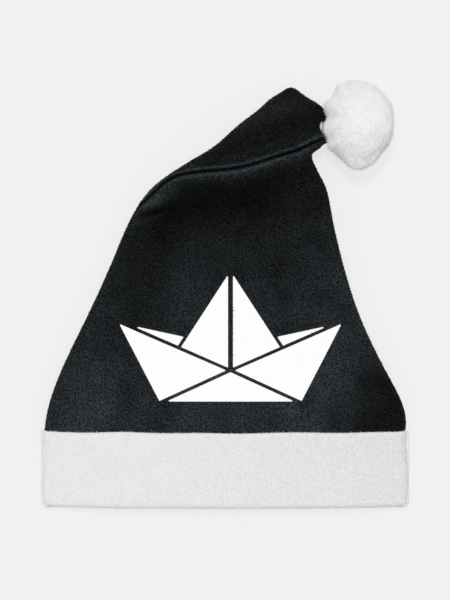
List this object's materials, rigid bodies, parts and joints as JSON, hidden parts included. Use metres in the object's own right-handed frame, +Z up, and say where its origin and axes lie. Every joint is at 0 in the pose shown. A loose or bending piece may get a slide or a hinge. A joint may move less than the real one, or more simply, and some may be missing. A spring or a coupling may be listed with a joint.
{
  "type": "christmas hat",
  "caption": "Soft pointed winter hat of dark fleece with a folded white plush cuff, a plush pompom on its bent tip and a paper boat pressed on in white film.",
  "frame": {"origin": "middle of the hat's footprint, on the surface that it lies on", "axes": "+X across the mouth towards the pompom's side, +Y from the mouth to the tip, +Z up from the surface, out of the printed front"},
  "size_m": [0.2908, 0.3366, 0.056],
  "materials": {
    "crown_fleece": "brushed black fleece, short matt nap",
    "cuff_plush": "white short-pile plush",
    "pompom_plush": "white long-pile plush",
    "seam_thread": "black overlock thread",
    "tie_thread": "white twisted thread",
    "print_film": "smooth matt white transfer film"
  },
  "bodies": {
    "root": {"crown_front_panel": "crown_fleece", "crown_back_panel": "crown_fleece", "side_seam_thread": "seam_thread", "cuff_band": "cuff_plush", "cuff_seam_thread": "seam_thread", "pompom": "pompom_plush", "pompom_tie_thread": "tie_thread", "print_left_hull": "print_film", "print_left_peak": "print_film", "print_left_far_side": "print_film", "print_right_hull": "print_film", "print_right_peak": "print_film", "print_right_far_side": "print_film", "print_keel": "print_film"}
  },
  "joints": []
}
